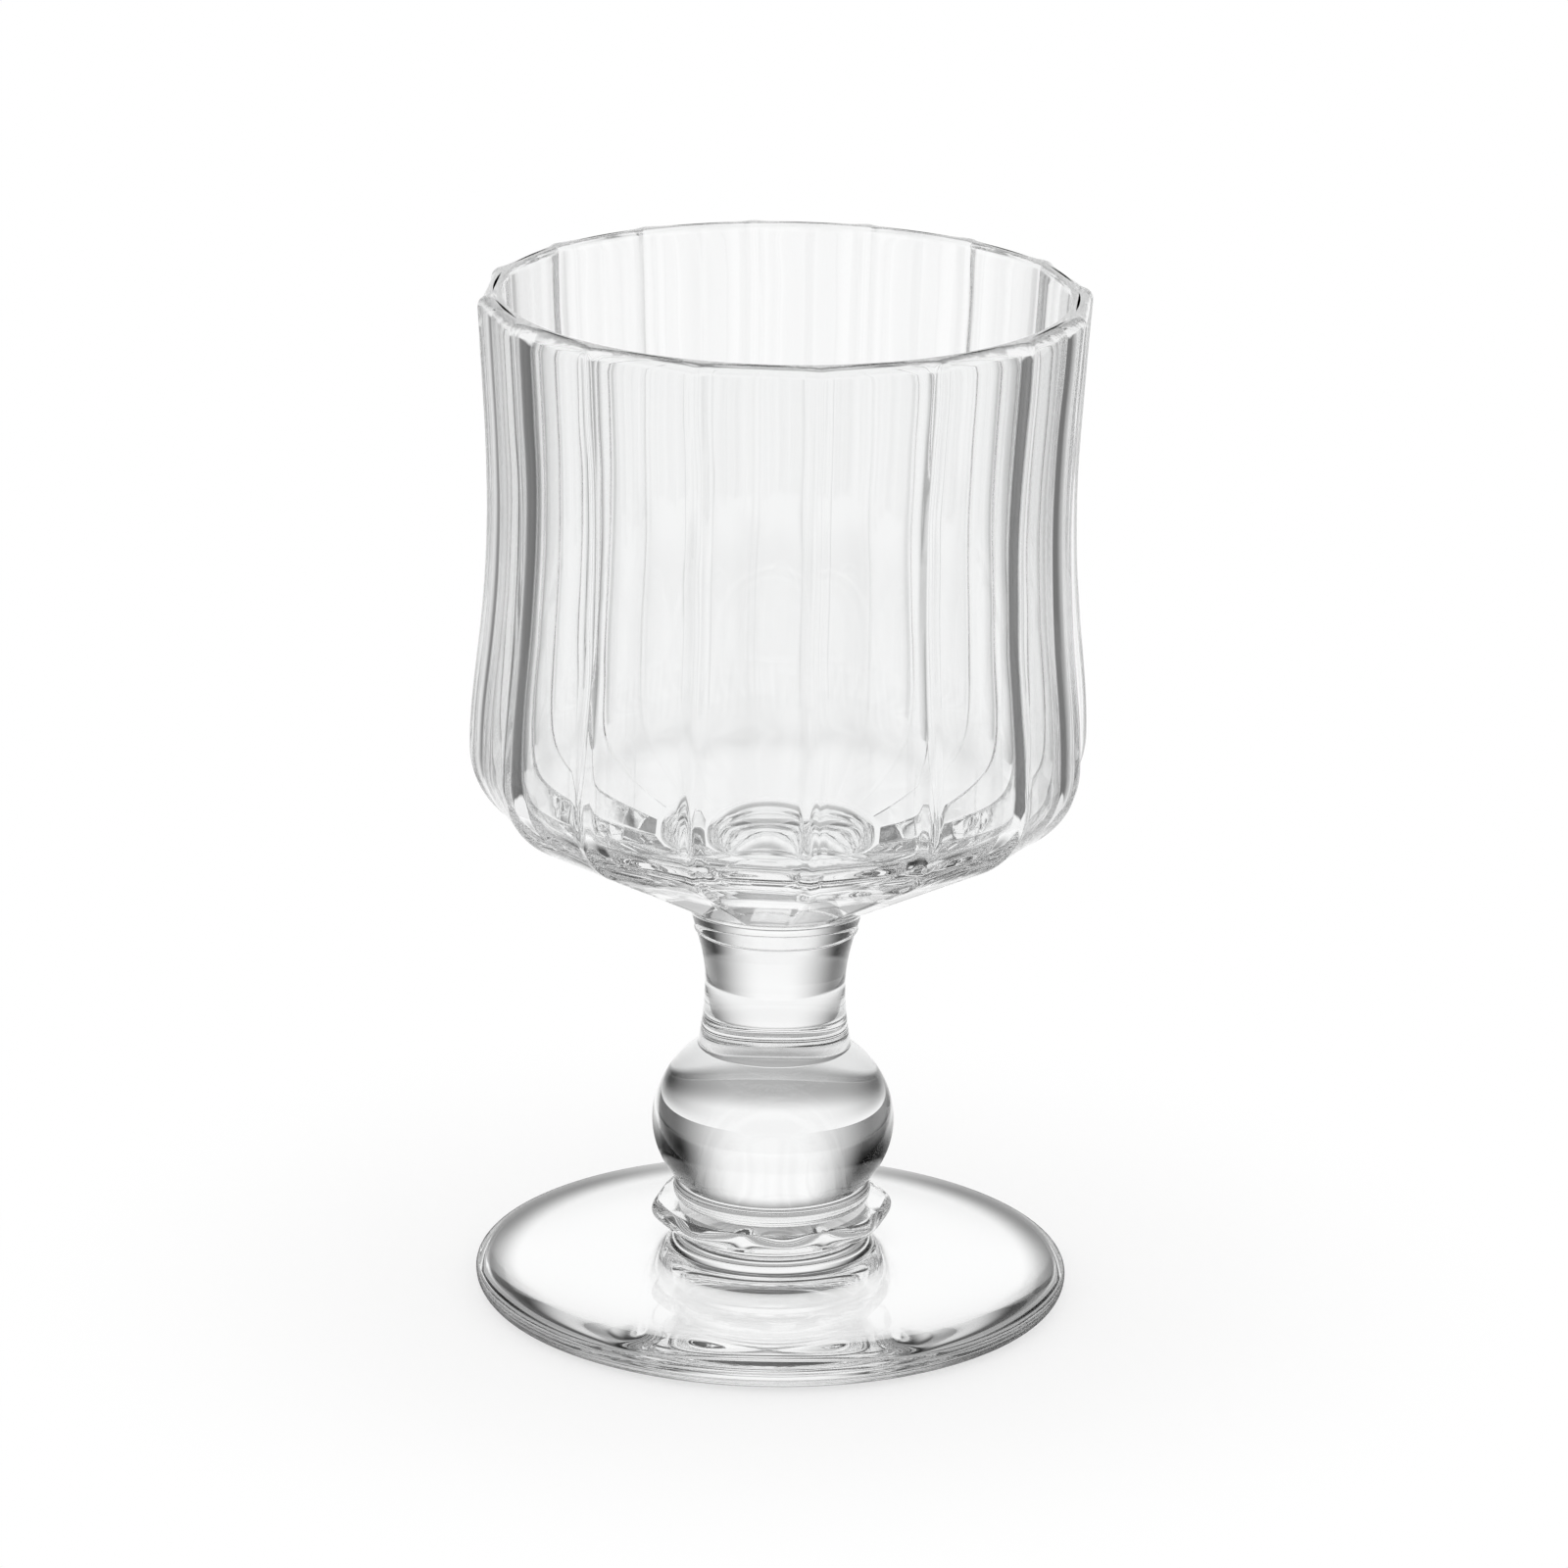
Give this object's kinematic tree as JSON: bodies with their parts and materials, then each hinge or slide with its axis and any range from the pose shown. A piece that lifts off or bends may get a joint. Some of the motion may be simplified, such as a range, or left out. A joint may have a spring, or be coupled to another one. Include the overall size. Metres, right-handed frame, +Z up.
{
  "type": "water goblet",
  "caption": "Clear pressed-glass water goblet: tall fluted bowl with a waisted wall, on a short stem with a ball knop and a lobed collar over a round foot.",
  "frame": {"origin": "middle of the foot's flat underside", "axes": "+Z up the goblet's axis to the rim; a ridge of the bowl and a lobe of the collar lie on the -Y side"},
  "size_m": [0.0834, 0.0834, 0.14],
  "materials": {
    "clear_glass": "clear colourless pressed glass, fire polished"
  },
  "bodies": {
    "root": {"foot": "clear_glass", "foot_collar": "clear_glass", "knop_ring": "clear_glass", "ball_knop": "clear_glass", "stem_neck": "clear_glass", "bowl_button": "clear_glass", "bowl": "clear_glass"}
  },
  "joints": []
}
